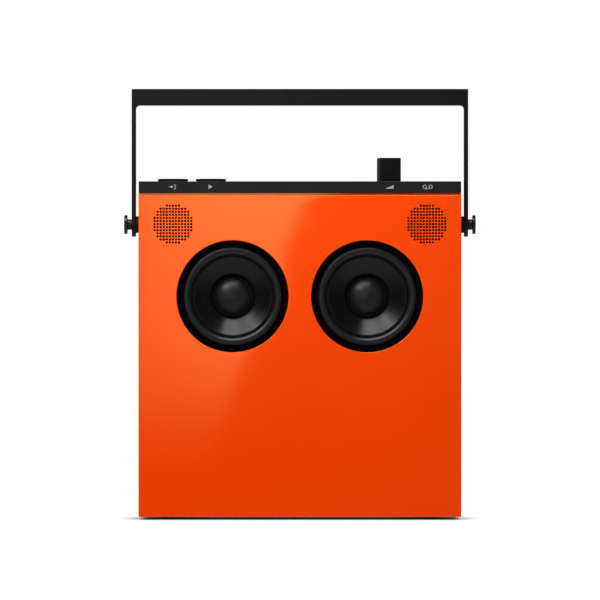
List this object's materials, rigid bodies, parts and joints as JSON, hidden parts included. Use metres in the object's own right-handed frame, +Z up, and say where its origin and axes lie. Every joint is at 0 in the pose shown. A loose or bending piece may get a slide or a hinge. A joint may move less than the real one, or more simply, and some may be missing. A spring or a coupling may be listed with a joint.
{
  "type": "portable speaker",
  "caption": "Upright slab-shaped portable stereo speaker with open round woofers, perforated tweeter fields, a black control deck and a square swinging carry handle.",
  "frame": {"origin": "on the ground, under the middle of the case", "axes": "+Z up, the front faces -Y, +X to the right of someone facing the front"},
  "size_m": [0.231, 0.058, 0.282],
  "materials": {
    "orange_case": "smooth, glossy, warm orange",
    "black_shell": "fine moulded texture, satin black",
    "handle_black": "black anodised, satin",
    "pin_black": "black, satin",
    "control_black": "smooth satin black",
    "bush_nylon": "plain black nylon",
    "foot_rubber": "matte, fine grain",
    "surround_rubber": "butyl, satin",
    "cone_black": "pressed polypropylene, fine radial grain",
    "spider_cloth": "resin-dipped cloth",
    "coil_copper": "copper winding",
    "steel": "zinc plated",
    "screw_black": "black zinc",
    "ferrite": "sintered, grey",
    "dome_silk": "coated silk",
    "inner_plastic": "plain moulded",
    "circuit_board": "solder mask over glass fibre",
    "cell_wrap": "blue sleeve over metal cells",
    "ribbon": "flat flexible cable"
  },
  "bodies": {
    "housing": {"audio_jack": "inner_plastic", "battery_pack": "cell_wrap", "battery_tray": "inner_plastic", "body_frame": "orange_case", "control_board": "circuit_board", "flat_cable": "ribbon", "foot_left": "foot_rubber", "foot_right": "foot_rubber", "front_panel": "orange_case", "input_switch": "inner_plastic", "main_board": "circuit_board", "pivot_bush_left": "bush_nylon", "pivot_bush_right": "bush_nylon", "play_switch": "inner_plastic", "power_switch": "inner_plastic", "rear_cover": "black_shell", "rear_screw_lower_left": "screw_black", "rear_screw_lower_right": "screw_black", "rear_screw_upper_left": "screw_black", "rear_screw_upper_right": "screw_black", "strap_pin_left": "pin_black", "strap_pin_right": "pin_black", "tape_motor": "steel", "top_deck": "black_shell", "tweeter_left_dome": "dome_silk", "tweeter_left_frame": "inner_plastic", "tweeter_left_magnet": "ferrite", "tweeter_right_dome": "dome_silk", "tweeter_right_frame": "inner_plastic", "tweeter_right_magnet": "ferrite", "usb_socket": "steel", "volume_encoder": "inner_plastic", "woofer_left_basket": "steel", "woofer_left_magnet": "ferrite", "woofer_left_spider": "spider_cloth", "woofer_left_surround": "surround_rubber", "woofer_left_top_plate": "steel", "woofer_left_yoke": "steel", "woofer_right_basket": "steel", "woofer_right_magnet": "ferrite", "woofer_right_spider": "spider_cloth", "woofer_right_surround": "surround_rubber", "woofer_right_top_plate": "steel", "woofer_right_yoke": "steel"},
    "handle": {"handle": "handle_black"},
    "input_key": {"input_button": "control_black", "input_plunger": "steel"},
    "play_key": {"play_button": "control_black", "play_plunger": "steel"},
    "volume_control": {"volume_knob": "control_black", "volume_shaft": "steel"},
    "tape_reel": {"tape_wheel": "control_black", "tape_shaft": "steel"},
    "left_cone": {"woofer_left_cone": "cone_black", "woofer_left_dust_cap": "cone_black", "woofer_left_voice_coil": "coil_copper"},
    "right_cone": {"woofer_right_cone": "cone_black", "woofer_right_dust_cap": "cone_black", "woofer_right_voice_coil": "coil_copper"},
    "power_key": {"power_button": "control_black"}
  },
  "joints": [
    {"name": "handle_swing", "type": "hinge", "parent": "housing", "child": "handle", "pos_m": [0, 0, 0.193], "axis": [1, 0, 0], "range_deg": [-150, 150]},
    {"name": "input_press", "type": "slide", "parent": "housing", "child": "input_key", "axis": [0, 0, -1], "range_m": [0, 0.001], "stiffness_N_per_m": 600, "springref_m": -0.0015},
    {"name": "play_press", "type": "slide", "parent": "housing", "child": "play_key", "axis": [0, 0, -1], "range_m": [0, 0.001], "stiffness_N_per_m": 600, "springref_m": -0.0015},
    {"name": "volume_turn", "type": "hinge", "parent": "housing", "child": "volume_control", "pos_m": [0.0585, 0, 0.2], "axis": [0, 0, 1], "range_deg": [-150, 150]},
    {"name": "tape_spin", "type": "hinge", "parent": "housing", "child": "tape_reel", "pos_m": [0.0835, 0, 0.2], "axis": [0, 0, 1], "continuous": true},
    {"name": "left_cone_stroke", "type": "slide", "parent": "housing", "child": "left_cone", "axis": [0, -1, 0], "range_m": [-0.003, 0.003], "stiffness_N_per_m": 1000, "deforming": ["woofer_left_surround", "woofer_left_spider"]},
    {"name": "right_cone_stroke", "type": "slide", "parent": "housing", "child": "right_cone", "axis": [0, -1, 0], "range_m": [-0.003, 0.003], "stiffness_N_per_m": 1000, "deforming": ["woofer_right_surround", "woofer_right_spider"]},
    {"name": "power_press", "type": "slide", "parent": "housing", "child": "power_key", "axis": [0, -1, 0], "range_m": [0, 0.0008], "stiffness_N_per_m": 600, "springref_m": -0.0015}
  ]
}
